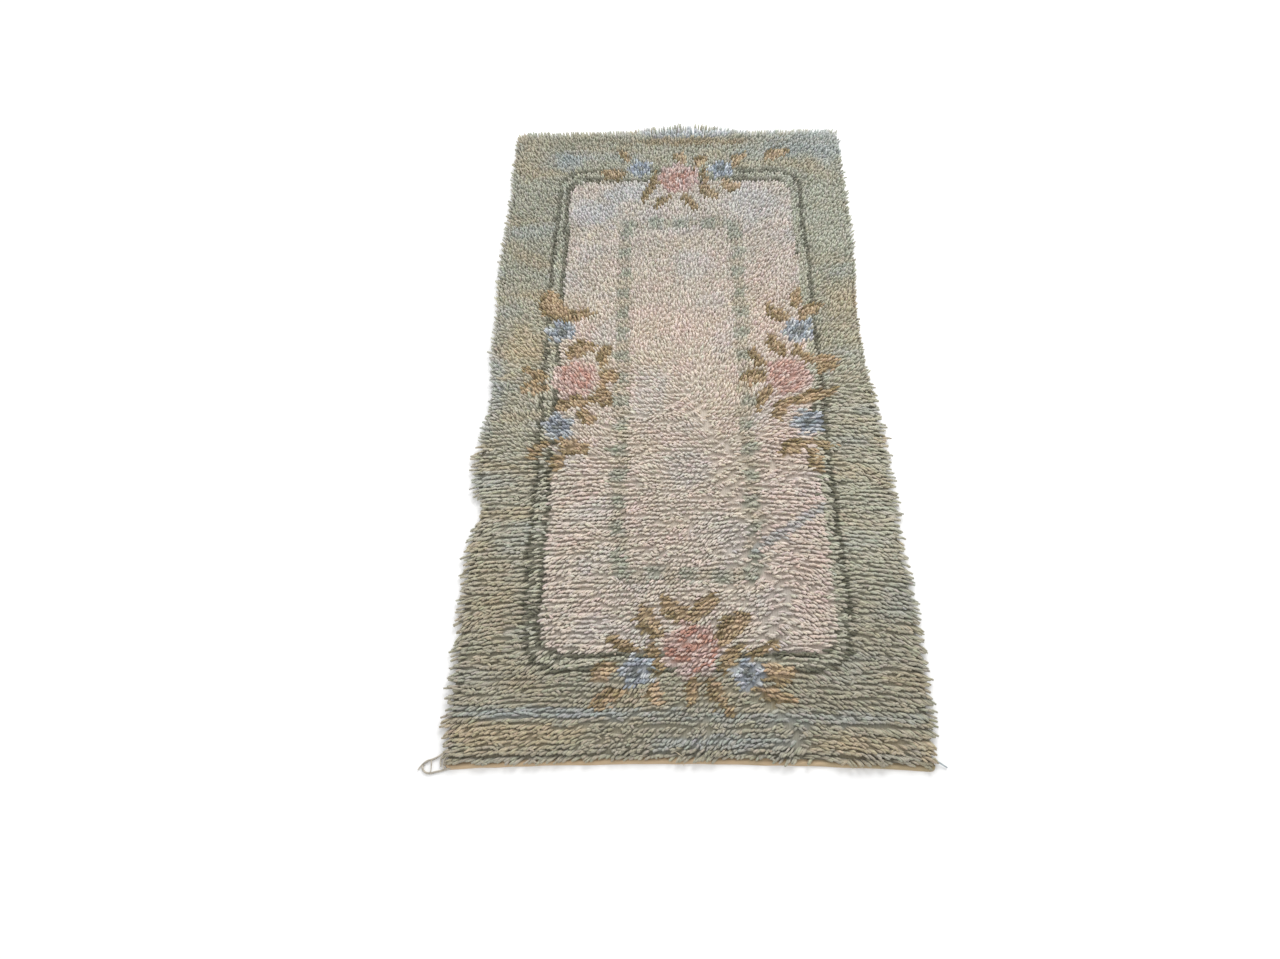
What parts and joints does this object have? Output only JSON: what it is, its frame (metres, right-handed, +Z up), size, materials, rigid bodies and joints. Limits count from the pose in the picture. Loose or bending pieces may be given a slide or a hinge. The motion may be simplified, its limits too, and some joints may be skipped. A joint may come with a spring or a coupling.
{
  "type": "floral pile hearth rug",
  "caption": "Long-pile wool rug lying flat, with a bordered cream panel and rose bouquets knotted into its pile and a rolled canvas hem at one end.",
  "frame": {"origin": "centre of the rug's footprint, at the underside of the canvas, measured without the loose loop of yarn", "axes": "+Y along the rug from its hemmed near end to its far end, +Z up out of the pile, +X to the right seen from the near end"},
  "size_m": [0.7441, 1.3821, 0.0265],
  "materials": {
    "canvas": "plain woven cotton rug canvas, matt",
    "pile_wool": "long plied wool pile, matt and slightly felted at the tips",
    "loose_yarn": "plied wool yarn, matt"
  },
  "bodies": {
    "root": {"ground_canvas": "canvas", "pile": "pile_wool", "corner_loop": "loose_yarn"}
  },
  "joints": []
}
